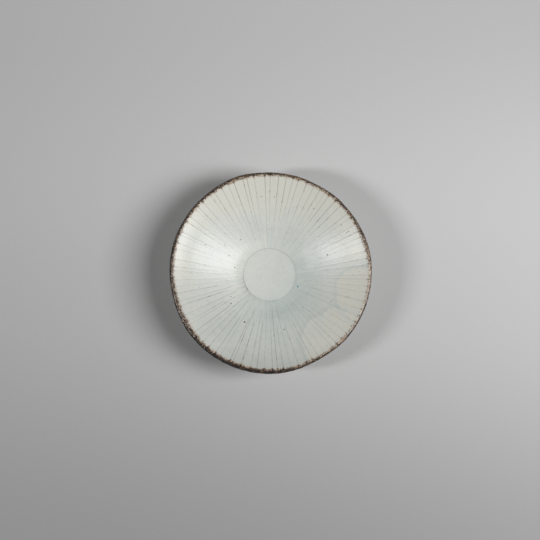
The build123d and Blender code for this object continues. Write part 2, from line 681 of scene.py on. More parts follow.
@dataclass(frozen=True)
class IronStain:
    """Iron oxide under and in the glaze.

    Thick on the lip it fires to a dark, glossy, grainy crust, whose pale sandy speckles are partly
    painted glints. It turns rusty where it thins, and grey where a film of glaze lies over it. Grit and
    speckle are grain sizes in millimetres, coarser than the real ones, so that they show.
    """

    black: str = "#0E0906"
    black_end: float = 0.49
    umber: str = "#442E1E"
    umber_place: float = 0.58
    # Sand speckles: partly pale grains, partly painted glints.
    sand: str = "#B09578"
    sand_and_glint_start: float = 0.68
    rust: str = "#866B57"
    grey: str = "#45423B"
    grit: float = 0.6
    grit_contrast: float = 2.0
    grit_whole: float = 0.15
    film_ends: Point = (0.02, 0.5)
    film_amount: float = 0.65
    crust_ends: Point = (0.25, 0.62)
    speckle: float = 0.5
    speckle_bare: float = 0.24
    speckle_loss: float = -0.3
    gloss: float = 0.16

    def lay(self, tree: Tree, place: Node, under: Node) -> tuple[Node, Node, Node]:
        """Lays the iron over a colour, by the piece's own ink and iron.

        Args:
            tree: Node tree of the material.
            place: Node that gives the place on the dish in millimetres.
            under: Node that gives the colour under the iron.

        Returns:
            Nodes that give the colour, the share of crust and the grit.
        """
        ink = add_node(tree, "Attribute", {"attribute_name": "ink"}).outputs["Fac"]
        lined = add_node(tree, "MixRGB", {2: linear(self.grey)}, {0: ink, 1: under})

        # Grit breaks up the edge of the iron.
        iron = add_node(tree, "Attribute", {"attribute_name": "iron"}).outputs["Fac"]
        grains = {"Scale": 1 / self.grit, "Detail": 2.0, "Roughness": 0.6}
        grit = add_node(tree, "TexNoise", grains, {"Vector": place})
        contrast = {"operation": "MULTIPLY_ADD", 1: self.grit_contrast, 2: -self.grit_contrast / 2}
        grain = add_node(tree, "Math", contrast, {0: grit})
        some = add_node(tree, "MapRange", {"From Max": self.grit_whole}, {"Value": iron})
        grained = add_node(tree, "Math", {"operation": "MULTIPLY"}, {0: grain, 1: some})
        laid = add_node(tree, "Math", {"operation": "ADD"}, {0: iron, 1: grained})

        # A film of iron is rusty, and a crust is black with paler speckles, more of them where it thins.
        # The palest speckles are partly painted glints.
        thin, thick = self.film_ends
        reach = {"From Min": thin, "From Max": thick, "To Max": self.film_amount}
        film = add_node(tree, "MapRange", {**SOFT, **reach}, {"Value": laid})
        rusty = add_node(tree, "MixRGB", {2: linear(self.rust)}, {0: film, 1: lined})
        thin, thick = self.crust_ends
        crust = add_node(tree, "MapRange", {**SOFT, "From Min": thin, "From Max": thick}, {"Value": laid})
        specks = {"Scale": 1 / self.speckle, "Detail": 1.0}
        speckle = add_node(tree, "TexNoise", specks, {"Vector": place})
        thinning = {"operation": "MULTIPLY_ADD", 1: self.speckle_loss, 2: self.speckle_bare}
        thinned = add_node(tree, "Math", thinning, {0: iron})
        speckled = add_node(tree, "Math", {"operation": "ADD"}, {0: speckle, 1: thinned})
        dark = add_node(tree, "ValToRGB", {}, {0: speckled})
        first, last = dark.color_ramp.elements
        first.position = self.black_end
        first.color = linear(self.black)
        last.position = self.sand_and_glint_start
        last.color = linear(self.sand)
        dark.color_ramp.elements.new(self.umber_place).color = linear(self.umber)
        crusted = add_node(tree, "MixRGB", {}, {0: crust, 1: rusty, 2: dark})
        return crusted, crust, grit


@dataclass(frozen=True)
class ThinPlace:
    """A round place where a second dip left the glaze thinner: centre and radius in millimetres."""

    across: float
    up: float
    radius: float
    loss: float


@dataclass(frozen=True)
class GlazeSlope:
    """A soft change across the glaze, along a side, or by the distance from the axis if that is None."""

    side: GlazeSide | None
    start: float
    whole: float
    size: float


@dataclass(frozen=True)
class PaleGlaze:
    """Feldspar glaze over pale stoneware, dipped and fired to a satin gloss.

    It looks milky grey, bluish where it has pooled thick, cream where it is thin, and its skin has a
    faint orange peel. Towards the bottom rim and the lower left it is greyed with painted shade. Sizes
    and places are in millimetres, and amounts are shares of a full coat. The grain and the pinpricks
    are drawn coarser than the real ones, so that they show.
    """

    cream: str = "#CFCEC4"
    milk: str = "#C6C9C4"
    milk_amount: float = 0.3
    blue: str = "#B1B9B4"
    grey: str = "#EAEAE9"
    roughness: float = 0.32
    base_amount: float = -0.17
    mottle: float = 14.0
    mottle_amount: float = 0.5
    dapple: float = 2.2
    dapple_amount: float = 0.4
    grain: float = 0.45
    grain_amount: float = 0.35
    peel: float = 1.3
    peel_depth: float = 0.042
    ridge_height: float = 1.2
    crust_height: float = 2.0
    pinprick: str = "#5E5A52"
    pinprick_spacing: float = 2.6
    pinprick_radius: float = 0.26
    pinprick_heart: float = 0.5
    pinprick_amount: float = 0.55
    pinprick_clear: Point = (0.5, 1.5)
    disc_radius: float = DishSection.disc_radius
    disc_edge: float = 0.3
    disc_pool: float = 0.3
    pool_ends: Point = (-12.0, 18.0)
    pool_amount: float = 0.7
    pool_reach: float = 34.0
    streaks_per_turn: float = 300.0
    streak_amount: float = 1.8
    streak_start: float = 1.0
    streak_reach: float = 30.0
    left_streak_ends: Point = (0.0, 20.0)
    left_streak_gain: float = 1.4
    thick_slopes: tuple[GlazeSlope, ...] = (
        GlazeSlope(GlazeSide.DOWN, 2.0, 40.0, 0.2),
        GlazeSlope(GlazeSide.DOWN, -20.0, -42.0, -0.25),
        GlazeSlope(None, 30.0, 47.0, -0.15),
    )
    grey_mottle: float = 0.5
    # Painted shade: neutral darkening towards the bottom rim and the lower left.
    painted_shade_slopes: tuple[GlazeSlope, ...] = (
        GlazeSlope(GlazeSide.DOWN, 34.0, 47.0, 0.75),
        GlazeSlope(GlazeSide.LEFT, 14.0, 44.0, 0.35),
    )
    thin_places: tuple[ThinPlace, ...] = (
        ThinPlace(32.0, -33.5, 15.6, 0.24),
        ThinPlace(48.5, -11.1, 14.8, 0.2),
    )
    thin_edge: float = 0.6
    thin_waver: float = 8.0
    thin_bank: float = 0.18
    thin_bank_ends: Point = (3.0, 0.8)
    stain: IronStain = IronStain()

    def lie(self, tree: Tree, place: Node) -> tuple[Node, Node, Node, Node]:
        """How the glaze lies on the dish, in shares.

        Args:
            tree: Node tree of the material.
            place: Node that gives the place on the dish in millimetres.

        Returns:
            Nodes that give the thickness, the greyness with its painted shade, the streaks beside the
            disc, and the pinpricks.
        """
        disc = self.disc_radius
        flat = add_node(tree, "VectorMath", {"operation": "MULTIPLY", 1: (1.0, 1.0, 0.0)}, {0: place})
        away = add_node(tree, "VectorMath", {"operation": "LENGTH"}, {0: flat}).outputs["Value"]
        along = {None: away}
        for side in GlazeSide:
            direction = (cos(radians(side.value)), sin(radians(side.value)), 0.0)
            across = add_node(tree, "VectorMath", {"operation": "DOT_PRODUCT", 1: direction}, {0: flat})
            along[side] = across.outputs["Value"]
        clouds = {"Scale": 1 / self.mottle, "Detail": 3.0, "Roughness": 0.6}
        mottle = add_node(tree, "TexNoise", clouds, {"Vector": place})
        dapple = add_node(tree, "TexNoise", {"Scale": 1 / self.dapple, "Detail": 2.0}, {"Vector": place})

        # Streaks fan out from the disc, more so on the left.
        heading = add_node(tree, "VectorMath", {"operation": "NORMALIZE"}, {0: flat})
        rays = {"Scale": self.streaks_per_turn / tau, "Detail": 2.0}
        fan = add_node(tree, "TexNoise", rays, {"Vector": heading})
        streaks = add_node(tree, "Math", {"operation": "SUBTRACT", 1: 0.5}, {0: fan})
        streaks = sloped(tree, streaks, "MULTIPLY", away, (disc, disc + self.streak_start), (0.0, 1.0))
        streaks = sloped(tree, streaks, "MULTIPLY", away, (self.streak_reach, disc), (0.0, 1.0))
        gain = (1.0, self.left_streak_gain)
        streaks = sloped(tree, streaks, "MULTIPLY", along[GlazeSide.LEFT], self.left_streak_ends, gain)

        # The glaze has pooled beside the disc.
        start, whole = self.pool_ends
        reach = {"From Min": start, "From Max": whole, "To Max": self.pool_amount}
        pool = add_node(tree, "MapRange", {**SOFT, **reach}, {"Value": along[GlazeSide.POOL]})
        edge = (disc - self.disc_edge, disc + self.disc_edge)
        pool = sloped(tree, pool, "MULTIPLY", away, edge, (self.disc_pool, 1.0))
        pool = sloped(tree, pool, "MULTIPLY", away, (self.pool_reach, disc), (0.0, 1.0))

        base = {"operation": "MULTIPLY_ADD", 1: self.mottle_amount, 2: self.base_amount}
        total = add_node(tree, "Math", base, {0: mottle})
        for amount, pattern in ((self.dapple_amount, dapple), (self.streak_amount, streaks)):
            more = {"operation": "MULTIPLY_ADD", 1: amount}
            total = add_node(tree, "Math", more, {0: pattern, 2: total})
        total = add_node(tree, "Math", {"operation": "ADD"}, {0: total, 1: pool})
        for slope in self.thick_slopes:
            ends = (slope.start, slope.whole)
            total = sloped(tree, total, "ADD", along[slope.side], ends, (0.0, slope.size))

        # A bank of glaze lies round each thin place, whose edge wavers.
        for thin in self.thin_places:
            centre = {"operation": "DISTANCE", 1: (thin.across, thin.up, 0.0)}
            off = add_node(tree, "VectorMath", centre, {0: flat}).outputs["Value"]
            waver = {"operation": "MULTIPLY_ADD", 1: self.thin_waver}
            wavering = add_node(tree, "Math", waver, {0: mottle, 2: off}).outputs[0]
            edge = thin.radius + self.thin_waver / 2
            bank = (edge + self.thin_bank_ends[0], edge + self.thin_bank_ends[1])
            total = sloped(tree, total, "ADD", wavering, bank, (0.0, self.thin_bank))
            bank = (edge + self.thin_edge, edge - self.thin_edge)
            total = sloped(tree, total, "ADD", wavering, bank, (0.0, -thin.loss - self.thin_bank))

        # Greyness is random mottle, plus painted shade towards the bottom rim and the lower left.
        shade = {"operation": "MULTIPLY_ADD", 1: self.grey_mottle, 2: -self.grey_mottle / 2}
        grey = add_node(tree, "Math", shade, {0: mottle})
        for slope in self.painted_shade_slopes:
            ends = (slope.start, slope.whole)
            grey = sloped(tree, grey, "ADD", along[slope.side], ends, (0.0, slope.size))

        cells = add_node(tree, "TexVoronoi", {"Scale": 1 / self.pinprick_spacing}, {"Vector": place})
        prick = self.pinprick_radius / self.pinprick_spacing
        heart = self.pinprick_heart * prick
        reach = {"From Min": prick, "From Max": heart, "To Max": self.pinprick_amount}
        dots = add_node(tree, "MapRange", reach, {"Value": cells})
        clear = (disc + self.pinprick_clear[0], disc + self.pinprick_clear[1])
        dots = sloped(tree, dots, "MULTIPLY", away, clear, (0.0, 1.0))
        return total, grey, streaks, dots

    def material(self, name: str) -> Material:
        """Material of a glazed piece, with the iron that the piece carries.

        Args:
            name: Name of the material.

        Returns:
            The material.
        """
        material, tree, place, shader = new_material(name)
        thickness, grey_and_painted_shade, streaks, dots = self.lie(tree, place)
        ramp = add_node(tree, "ValToRGB", {}, {0: thickness})
        first, last = ramp.color_ramp.elements
        first.color = linear(self.cream)
        last.color = linear(self.blue)
        ramp.color_ramp.elements.new(self.milk_amount).color = linear(self.milk)
        # The greying multiplies in the mottle and the painted shade.
        greying = {"blend_type": "MULTIPLY", 2: linear(self.grey)}
        greyed = add_node(tree, "MixRGB", greying, {0: grey_and_painted_shade, 1: ramp})
        grain = add_node(tree, "TexNoise", {"Scale": 1 / self.grain, "Detail": 2.0}, {"Vector": place})
        graining = {"blend_type": "SOFT_LIGHT", 0: self.grain_amount}
        grained = add_node(tree, "MixRGB", graining, {1: greyed, 2: grain})
        dotted = add_node(tree, "MixRGB", {2: linear(self.pinprick)}, {0: dots, 1: grained})
        colour, crust, grit = self.stain.lay(tree, place, dotted)
        tree.links.new(colour.outputs[0], shader.inputs["Base Color"])

        peel = add_node(tree, "TexNoise", {"Scale": 1 / self.peel, "Detail": 1.0}, {"Vector": place})
        ridges = {"operation": "MULTIPLY_ADD", 1: self.ridge_height}
        ridged = add_node(tree, "Math", ridges, {0: streaks, 2: peel})
        crusty = add_node(tree, "Math", {"operation": "MULTIPLY"}, {0: grit, 1: crust})
        crusts = {"operation": "MULTIPLY_ADD", 1: self.crust_height}
        height = add_node(tree, "Math", crusts, {0: crusty, 2: ridged})
        depth = {"Strength": 1.0, "Distance": self.peel_depth * MM}
        skin = add_node(tree, "Bump", depth, {"Height": height})
        tree.links.new(skin.outputs[0], shader.inputs["Normal"])
        shine = {"To Min": self.roughness, "To Max": self.stain.gloss}
        gloss = add_node(tree, "MapRange", shine, {"Value": crust})
        tree.links.new(gloss.outputs[0], shader.inputs["Roughness"])
        return material


@dataclass(frozen=True)
class BareStoneware:
    """Stoneware left bare and turned on the wheel: matt, sandy buff, toasted beside the glaze.

    Sizes and heights are in millimetres. The sand is drawn coarser than the real one, so that it shows.
    """

    buff: str = "#A39079"
    grey: str = "#857767"
    cloud: float = 6.0
    toast: str = "#9A6A45"
    toast_ends: Point = (6.0, 10.5)
    toast_amount: float = 0.8
    toast_waver: float = 3.0
    spot: str = "#3B2A20"
    spot_spacing: float = 2.4
    spot_radius: float = 0.3
    spot_heart: float = 0.5
    spot_amount: float = 0.8
    sand: float = 0.5
    sand_depth: float = 0.06
    roughness: float = 0.85

    def material(self, name: str) -> Material:
        """Material of the foot and of the bare clay beside it.

        Args:
            name: Name of the material.

        Returns:
            The material.
        """
        material, tree, place, shader = new_material(name)
        clouds = {"Scale": 1 / self.cloud, "Detail": 4.0, "Roughness": 0.6}
        cloud = add_node(tree, "TexNoise", clouds, {"Vector": place})
        clay = add_node(tree, "MixRGB", {1: linear(self.grey), 2: linear(self.buff)}, {0: cloud})
        height = add_node(tree, "SeparateXYZ", {}, {0: place}).outputs["Z"]
        waver = {"operation": "MULTIPLY_ADD", 1: self.toast_waver}
        wavy = add_node(tree, "Math", waver, {0: cloud, 2: height})
        start, whole = self.toast_ends
        reach = {"From Min": start, "From Max": whole, "To Max": self.toast_amount}
        flash = add_node(tree, "MapRange", {**SOFT, **reach}, {"Value": wavy})
        toasted = add_node(tree, "MixRGB", {2: linear(self.toast)}, {0: flash, 1: clay})
        cells = add_node(tree, "TexVoronoi", {"Scale": 1 / self.spot_spacing}, {"Vector": place})
        edge = self.spot_radius / self.spot_spacing
        reach = {"From Min": edge, "From Max": self.spot_heart * edge, "To Max": self.spot_amount}
        spots = add_node(tree, "MapRange", reach, {"Value": cells})
        spotted = add_node(tree, "MixRGB", {2: linear(self.spot)}, {0: spots, 1: toasted})
        tree.links.new(spotted.outputs[0], shader.inputs["Base Color"])
        shader.inputs["Roughness"].default_value = self.roughness
        sand = add_node(tree, "TexNoise", {"Scale": 1 / self.sand, "Detail": 2.0}, {"Vector": place})
        depth = {"Strength": 1.0, "Distance": self.sand_depth * MM}
        skin = add_node(tree, "Bump", depth, {"Height": sand})
        tree.links.new(skin.outputs[0], shader.inputs["Normal"])
        return material


@dataclass(frozen=True)
class FleckStain:
    """A grain of metal in the glaze, melted to a soft dot."""

    heart: str
    edge: str
    melt: float = 0.25
    roughness: float = 0.35

    def material(self, name: str) -> Material:
        """Material of one kind of fleck.

        Args:
            name: Name of the material.

        Returns:
            The material.
        """
        material, tree, place, shader = new_material(name)
        melt = add_node(tree, "TexNoise", {"Scale": 1 / self.melt, "Detail": 1.0}, {"Vector": place})
        colour = add_node(tree, "MixRGB", {1: linear(self.heart), 2: linear(self.edge)}, {0: melt})
        tree.links.new(colour.outputs[0], shader.inputs["Base Color"])
        shader.inputs["Roughness"].default_value = self.roughness
        return material


def placed(name: str, bm: Mesh, material: Material, sharp: float) -> bpy.types.Object:
    """Turns a mesh in millimetres into an object in metres.

    Args:
        name: Name of the object.
        bm: Mesh, which is freed.
        material: Its material.
        sharp: Degrees between faces above which an edge stays sharp.

    Returns:
        The object, linked to the scene.
    """
    bmesh.ops.scale(bm, vec=(MM, MM, MM), verts=bm.verts)
    for face in bm.faces:
        face.smooth = True
    mesh = bpy.data.meshes.new(name)
    bm.to_mesh(mesh)
    bm.free()
    mesh.set_sharp_from_angle(angle=radians(sharp))
    mesh.materials.append(material)
    piece = bpy.data.objects.new(name, mesh)
    bpy.context.scene.collection.objects.link(piece)
    log.info("%s: %d faces", name, len(mesh.polygons))
    return piece


@dataclass
class DishPiece(ABC):
    """A piece of the dish that stands for one solid of the frame."""

    section: DishSection
    hand: HandShape
    name: ClassVar[str]
    node: ClassVar[str]
    slot: ClassVar[str]
    material: ClassVar[str]
    finish: ClassVar[PaleGlaze | BareStoneware] = PaleGlaze()
    sharp: ClassVar[float] = 50.0

    @abstractmethod
    def build(self) -> Mesh:
        """Models the piece in millimetres, true to the section."""

    def dress(self) -> Material:
        """Makes the piece's material from its finish."""
        return self.finish.material(self.material)

    def make(self) -> None:
        """Builds the piece, shapes it by hand, dresses it and ties it to the frame."""
        bm = self.build()
        self.hand.shape(bm)
        piece = placed(self.name, bm, self.dress(), self.sharp)
        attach(piece, BODY)
        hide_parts(self.node)


@dataclass
class GlazedWell(DishPiece):
    """Coat over the well and its disc, with a shallow groove for every line."""

    name: ClassVar[str] = "well_glaze"
    node: ClassVar[str] = "inner_glaze"
    slot: ClassVar[str] = "pale_glaze"
    material: ClassVar[str] = "satin_pale_glaze_well"

    lines: LinePattern = LinePattern()
    iron: IronEdge = IronEdge()
    groove_depths: tuple[float, ...] = (0.0, 0.0, 0.12, 0.9, 1.0, 0.9, 0.12, 0.0)
    groove_room: float = 0.42
    groove_shoulder: float = 1.9
    gather_start: float = 0.4
    top_depth: float = 0.02
    disc_curve: float = 150.0
    disc_chords: int = 8
    disc_shoulder: float = 0.4
    disc_shoulder_chords: int = 6
    ring_groove: float = 0.015
    ring_shoulder: float = 0.6
    ring_shoulder_chords: int = 4
    ring_shade: float = 0.08
    ring_shade_width: float = 0.55
    ring_shade_sides: tuple[RimSwell, ...] = (
        RimSwell(peak=35.0, width=45.0, size=0.05),
        RimSwell(peak=315.0, width=42.0, size=-0.05),
    )
    smear: RimSwell = RimSwell(peak=216.0, width=32.0, size=0.32)
    smear_reach: float = 3.4
    smear_middle: float = 0.5
    smear_streaks: RimWander = RimWander(size=1.2, features=150, layer=3.0)
    rings: int = 56
    ring_gather: float = 1.4
    clay_chords: int = 12
    clay_disc_chords: int = 3

    @property
    def columns_per_line(self) -> int:
        """How many columns of the mesh each line has."""
        return len(self.groove_depths)

    def profile(self) -> list[Point]:
        """Section of the coat, from the top of the disc round to the clay under it.

        Returns:
            Pairs of distance from the axis and height.
        """
        s = self.section
        disc_edge = s.disc_radius - self.disc_shoulder
        disc_z = s.well(disc_edge) + sqrt(self.disc_curve**2 - disc_edge**2)
        points = s.arc(disc_z, self.disc_curve, 0, asin(disc_edge / self.disc_curve), self.disc_chords)
        for share in evenly(0.0, 1.0, self.disc_shoulder_chords)[1:]:
            r = disc_edge + self.disc_shoulder * share
            points.append((r, s.well(r, self.ring_groove * ease(0, 1, share))))
        for share in evenly(0.0, 1.0, self.ring_shoulder_chords):
            r = s.disc_radius + s.ring_width + self.ring_shoulder * share
            points.append((r, s.well(r, self.ring_groove * (1 - ease(0, 1, share)))))
        start = asin(points[-1][0] / s.glaze_curve)
        for share in evenly(1.0, 0.0, self.rings)[1:]:
            turn = start + (s.well_end - start) * (1 - share**self.ring_gather)
            points.append(s.on_arc(s.well_z, s.glaze_curve, turn))
        clay_start = asin(s.clay_disc / s.well_curve)
        points += s.arc(s.well_z, s.well_curve, s.well_end, clay_start, self.clay_chords)
        disc_end = asin(s.clay_disc / s.clay_disc_curve)
        return points + s.arc(s.well_z, s.clay_disc_curve, disc_end, 0, self.clay_disc_chords)

    def line_place(self, column: int, r: float) -> tuple[float, float, int]:
        """Where a column of the mesh goes so that it follows the lines.

        Args:
            column: Number of the column.
            r: Distance from the axis.

        Returns:
            The column's angle, its share of the groove's depth, and its line's number.
        """
        line, place = divmod(column, self.columns_per_line)
        here = self.lines.angle(line)
        before = (self.lines.angle(line - 1) + here) / 2
        after = (self.lines.angle(line + 1) + here) / 2
        half = degrees(self.lines.half(line, r) / max(r, self.section.disc_radius))
        left = min(half, self.groove_room * (here - before))
        right = min(half, self.groove_room * (after - here))
        left_bank = here - self.groove_shoulder * left
        right_bank = here + self.groove_shoulder * right
        angles = (
            before,
            (before + left_bank) / 2,
            left_bank,
            here - left,
            here,
            here + right,
            right_bank,
            (after + right_bank) / 2,
        )
        return angles[place], self.groove_depths[place], line

    def build(self) -> Mesh:
        """Spins the section, then gathers the columns at the lines and sinks the grooves.

        Returns:
            The mesh.
        """
        s = self.section
        columns = self.lines.count * self.columns_per_line
        bm = spun(self.profile(), columns)
        iron = bm.verts.layers.float.new("iron")
        ink = bm.verts.layers.float.new("ink")
        ring = s.disc_radius + s.ring_width / 2
        pitch = 360 / columns
        for vert in bm.verts:
            x, y, z = vert.co
            r = hypot(x, y)
            if r < ON_AXIS:
                continue
            column = round(degrees(atan2(y, x)) / pitch) % columns
            even = (column - self.columns_per_line / 2) * pitch
            angle, depth, line = self.line_place(column, r)
            angle = even + (angle - even) * ease(self.gather_start * s.disc_radius, s.disc_radius, r)
            on_top = abs(hypot(r, s.well_z - z) - s.glaze_curve) < self.top_depth
            if on_top:
                vert[iron] = self.iron.share(angle, s.rim_radius - r)
                shade = self.ring_shade + total_at(self.ring_shade_sides, angle)
                vert[ink] = shade * exp(-(((r - ring) / self.ring_shade_width) ** 2))
                if r > ring:
                    streak = clamp(self.smear_middle + self.smear_streaks.at(angle))
                    fading = exp(-(((r - ring) / self.smear_reach) ** 2))
                    vert[ink] += self.smear.at(angle) * streak * fading
                inward = self.lines.groove * depth * self.lines.cut(line, r, s) / s.glaze_curve
                z -= (s.well_z - z) * inward
                r += r * inward
            vert.co = (r * cos(radians(angle)), r * sin(radians(angle)), z)
        return bm


@dataclass
class IronLines(DishPiece):
    """Iron in the grooves: one thin strip for each line, which fades out to its sides."""

    name: ClassVar[str] = "radial_lines"
    node: ClassVar[str] = "iron_lines"
    slot: ClassVar[str] = "iron_grey"
    material: ClassVar[str] = "iron_under_glaze_lines"

    lines: LinePattern = LinePattern()
    iron: IronEdge = IronEdge()
    lengthwise: int = 44
    across: int = 4
    thickness: float = 0.1
    sunk: float = 0.5
    sides_sunk: float = 0.1
    side_fade: float = 0.8

    def build(self) -> Mesh:
        """Lays a grid in every groove and gives it thickness below.

        Returns:
            The mesh.
        """
        s = self.section
        bm = bmesh.new()
        ink = bm.verts.layers.float.new("ink")
        iron = bm.verts.layers.float.new("iron")
        for index in range(self.lines.count):
            # The grid runs from -1 to 1 both ways.
            grid = bmesh.ops.create_grid(bm, x_segments=self.lengthwise, y_segments=self.across, size=1.0)
            start = self.lines.start(index, s)
            direction = self.lines.angle(index)
            for vert in grid["verts"]:
                side = vert.co.y
                r = start + (s.lip_join - start) * (vert.co.x + 1) / 2
                angle = direction + degrees(side * self.lines.half(index, r) / r)
                depth = self.sunk * self.lines.cut(index, r, s) + self.sides_sunk * side**2
                z = s.well(r, self.lines.groove * depth)
                vert.co = (r * cos(radians(angle)), r * sin(radians(angle)), z)
                vert[ink] = self.lines.ink(index, r, s) * clamp(1 - abs(side)) ** self.side_fade
                vert[iron] = self.iron.share(angle, s.rim_radius - r)
        bm.normal_update()
        bmesh.ops.solidify(bm, geom=list(bm.faces), thickness=self.thickness)
        bmesh.ops.recalc_face_normals(bm, faces=bm.faces)
        return bm


@dataclass
class CentreRing(DishPiece):
    """Iron in the groove round the disc, darkest on one side, with a bead in it."""

    name: ClassVar[str] = "disc_ring"
    node: ClassVar[str] = "centre_ring"
    slot: ClassVar[str] = "iron_grey"
    material: ClassVar[str] = "iron_under_glaze_ring"

    columns: int = 360
    chords: int = 4
    overlap: float = 0.1
    sunk: float = 0.008
    depth: float = 0.12
    ink: float = 0.3
    sides: tuple[RimSwell | RimWander, ...] = (
        RimSwell(peak=200.0, width=24.0, size=0.42),
        RimSwell(peak=120.0, width=40.0, size=0.06),
        RimSwell(peak=320.0, width=52.0, size=-0.24),
        RimSwell(peak=212.0, width=2.6, size=0.9),
        RimWander(size=0.1, features=60, layer=8.0),
    )

    def build(self) -> Mesh:
        """Spins a low strip and inks it by direction.

        Returns:
            The mesh.
        """
        s = self.section
        inner = s.disc_radius - self.overlap
        outer = s.disc_radius + s.ring_width + self.overlap
        middle = (inner + outer) / 2
        profile = [(r, s.well(r, self.sunk)) for r in evenly(inner, outer, self.chords)]
        profile += [(r, s.well(r, self.depth)) for r in (outer, inner)]
        bm = spun(profile, self.columns, closed=True)
        ink = bm.verts.layers.float.new("ink")
        for vert in bm.verts:
            angle = degrees(atan2(vert.co.y, vert.co.x))
            off = abs(hypot(vert.co.x, vert.co.y) - middle) / (outer - middle)
            vert[ink] = clamp(self.ink + total_at(self.sides, angle)) * (1 - clamp(off))
        return bm


@dataclass
class LipIron(DishPiece):
    """Iron over the lip, heavy in places and thin in others, partly as painted shade and glints, with a
    grainy skin.
    """

    name: ClassVar[str] = "lip_iron"
    node: ClassVar[str] = "iron_rim"
    slot: ClassVar[str] = "iron_brown"
    material: ClassVar[str] = "iron_crust_lip"

    iron: IronEdge = IronEdge()
    columns: int = 1512
    chords: int = 18
    clay_chords: int = 6
    lump_rise: float = 0.1
    lump_least: float = 0.4
    lump_sizes: tuple[float, ...] = (1.1, 2.4)
    smooth_end: float = 0.35

    def build(self) -> Mesh:
        """Spins the section and roughens it where the iron is thick.

        Returns:
            The mesh.
        """
        s = self.section
        profile = s.lip_arc(s.coated_lip, self.chords)[::-1] + s.lip_arc(s.lip_radius, self.clay_chords)
        bm = spun(profile, self.columns, closed=True)
        iron = bm.verts.layers.float.new("iron")
        for vert in bm.verts:
            x, y, z = vert.co
            r = hypot(x, y)
            turn = atan2(z - s.lip_z, r - s.lip_r)
            inwards = s.rim_radius - r if turn > 0 else turn * s.coated_lip
            share = self.iron.share(degrees(atan2(y, x)), inwards)
            vert[iron] = share
            on_clay = hypot(r - s.lip_r, z - s.lip_z) < s.lip_radius + s.coat / 2
            if on_clay:
                continue
            clear = ease(0.0, self.smooth_end, turn - s.lip_end)
            clear *= ease(0.0, self.smooth_end, s.lip_start - turn)
            lumps = sum(drift(x / size, y / size, z / size) for size in self.lump_sizes)
            bump = self.lump_rise * clear * (self.lump_least + (1 - self.lump_least) * share) * lumps
            out = 1 + bump * cos(turn) / r
            vert.co = (x * out, y * out, z + bump * sin(turn))
        return bm


@dataclass
class OutsideGlaze(DishPiece):
    """Coat over the outside, which ends in a wavy rolled edge above the foot."""

    name: ClassVar[str] = "outside_glaze"
    node: ClassVar[str] = "outer_glaze"
    slot: ClassVar[str] = "pale_glaze"
    material: ClassVar[str] = "satin_pale_glaze_outside"

    iron: IronEdge = IronEdge()
    columns: int = 504
    rings: int = 60
    clay_chords: int = 16
    edge_round: float = 0.35
    edge_steps: tuple[Point, ...] = ((0.8, 0.4), (0.4, 0.0))
    edge_iron: float = 0.3
    edge_iron_reach: float = 0.9
    throwing_rise: float = 0.05
    throwing_pitch: float = 2.6
    throwing_ends: Point = (2.0, 6.0)
    throwing_lip_gap: float = 4.0
    throwing_waver: float = 1.5
    throwing_waver_length: float = 20.0
    throwing_layer: float = 7.0
    roll: ProfileSwell = ProfileSwell(place=1.0, inner=1.1, outer=1.1, size=0.3)
    wave: RimWander = RimWander(size=0.9, features=14, layer=3.0)
    wave_reach: float = 7.0

    @property
    def glaze_line(self) -> float:
        """Turn from straight down, in radians, at which the glaze ends on the underside's arc."""
        s = self.section
        return asin((s.foot_radius + s.foot_flare + s.bare_band) / s.base_curve)

    def profile(self) -> list[Point]:
        """Closed section of the coat.

        Returns:
            Pairs of distance from the axis and height.
        """
        s = self.section
        end = self.glaze_line
        round_turn = self.edge_round / s.base_curve
        points = s.arc(s.base_z, s.base_curve + s.coat, s.base_end, end + round_turn, self.rings)
        for height, back in self.edge_steps:
            points.append(s.on_arc(s.base_z, s.base_curve + height * s.coat, end + back * round_turn))
        return points + s.arc(s.base_z, s.base_curve, end, s.base_end, self.clay_chords)

    def build(self) -> Mesh:
        """Spins the section, raises throwing marks and waves the lower edge.

        Returns:
            The mesh.
        """
        s = self.section
        bm = spun(self.profile(), self.columns, closed=True)
        iron = bm.verts.layers.float.new("iron")
        lip_side = s.coated_lip * (pi / 2 - s.base_end)
        for vert in bm.verts:
            x, y, z = vert.co
            r = hypot(x, y)
            turn = atan2(y, x)
            depth = hypot(r, s.base_z - z)
            slope = atan2(r, s.base_z - z)
            up = (slope - self.glaze_line) * s.base_curve
            down = (s.base_end - slope) * s.base_curve
            vert[iron] = self.iron.share(degrees(turn), -lip_side - down)
            vert[iron] += self.edge_iron * ease(self.edge_iron_reach, 0.0, up)
            outside = clamp((depth - s.base_curve) / s.coat)
            length = self.throwing_waver_length
            waver = self.throwing_waver * drift(x / length, y / length, self.throwing_layer)
            marks = sin(tau * up / self.throwing_pitch + waver)
            marks *= self.throwing_rise * ease(*self.throwing_ends, up)
            marks *= ease(0.0, self.throwing_lip_gap, down)
            depth += outside * (marks + self.roll.at(up))
            slope += self.wave.at(degrees(turn)) / s.base_curve * ease(self.wave_reach, 0.0, up)
            r = depth * sin(slope)
            vert.co = (r * cos(turn), r * sin(turn), s.base_z - depth * cos(slope))
        return bm


